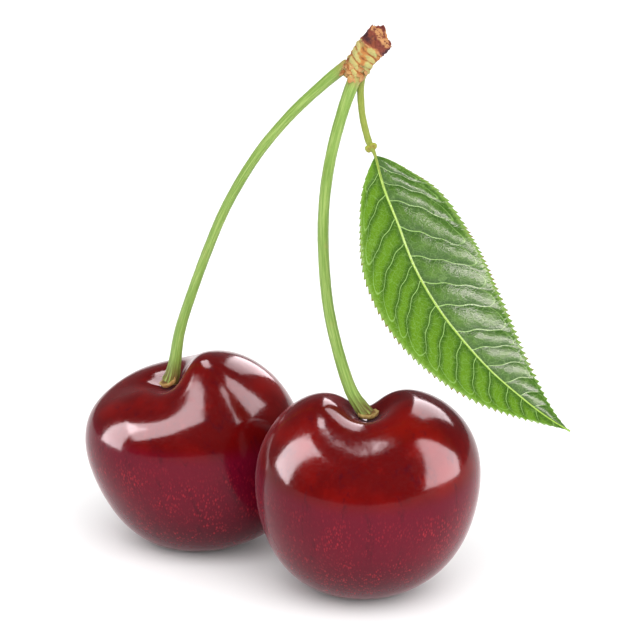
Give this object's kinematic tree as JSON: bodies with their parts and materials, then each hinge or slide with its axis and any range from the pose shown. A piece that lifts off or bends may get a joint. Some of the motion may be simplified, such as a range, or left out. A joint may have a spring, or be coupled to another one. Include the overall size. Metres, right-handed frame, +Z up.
{
  "type": "cherries on stalks",
  "caption": "Ripe dark red sweet cherries on long green stalks joined at a short woody spur, with a toothed green leaf, standing on their fruits.",
  "frame": {"origin": "on the surface that the fruits rest on, under the middle of the whole part's box", "axes": "+Z up, the longest extent, from the fruits to the spur; +X to the right, from the rear fruit towards the leaf's tip; +Y to the back, the shortest extent"},
  "size_m": [0.0591, 0.0392, 0.0689],
  "materials": {
    "fruit_skin": "glossy dark red skin with fine pale dots",
    "stalk": "satin light green, brown at the collar",
    "spur": "matt yellow-green with brown ring scars",
    "bark": "rough dark red-brown, tan where it is torn",
    "bud_scales": "dry papery orange-brown",
    "leaf": "glossy green above, matt and paler below"
  },
  "bodies": {
    "root": {"cherry_right": "fruit_skin", "cherry_left": "fruit_skin", "stalk_right": "stalk", "stalk_left": "stalk", "spur": "spur", "torn_bark": "bark", "bud_scales": "bud_scales", "leaf": "leaf"}
  },
  "joints": []
}
